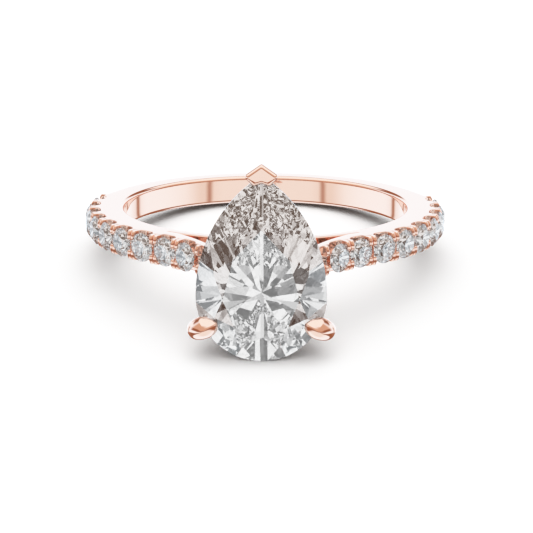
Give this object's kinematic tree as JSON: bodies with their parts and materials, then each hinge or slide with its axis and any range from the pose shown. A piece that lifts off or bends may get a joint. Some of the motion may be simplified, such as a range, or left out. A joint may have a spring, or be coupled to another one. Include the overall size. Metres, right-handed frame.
{
  "type": "engagement ring",
  "caption": "Rose gold ring with a pear-cut centre stone held by two claws and a V-shaped prong, and a slim band set with small round stones.",
  "frame": {"origin": "centre of the finger hole, halfway along the band's width", "axes": "the ring lies on its side as on a table: the head and centre stone face -Y, X runs across the finger, and the finger's axis leans from +Z towards +Y by the resting tilt of about 10.5 degrees"},
  "size_m": [0.021, 0.0238, 0.0107],
  "materials": {
    "rose_gold": "polished 14 karat rose gold",
    "centre_diamond": "clear faceted pear-cut diamond",
    "side_diamond": "clear faceted round diamond"
  },
  "bodies": {
    "root": {"shank": "rose_gold", "finger_bridge": "rose_gold", "left_shoulder": "rose_gold", "right_shoulder": "rose_gold", "left_band_prongs": "rose_gold", "right_band_prongs": "rose_gold", "head_base": "rose_gold", "gallery_rail": "rose_gold", "claw_left": "rose_gold", "claw_right": "rose_gold", "v_prong": "rose_gold", "pear_stone": "centre_diamond", "melee_left_1": "side_diamond", "melee_left_2": "side_diamond", "melee_left_3": "side_diamond", "melee_left_4": "side_diamond", "melee_left_5": "side_diamond", "melee_left_6": "side_diamond", "melee_left_7": "side_diamond", "melee_left_8": "side_diamond", "melee_left_9": "side_diamond", "melee_right_1": "side_diamond", "melee_right_2": "side_diamond", "melee_right_3": "side_diamond", "melee_right_4": "side_diamond", "melee_right_5": "side_diamond", "melee_right_6": "side_diamond", "melee_right_7": "side_diamond", "melee_right_8": "side_diamond", "melee_right_9": "side_diamond"}
  },
  "joints": []
}
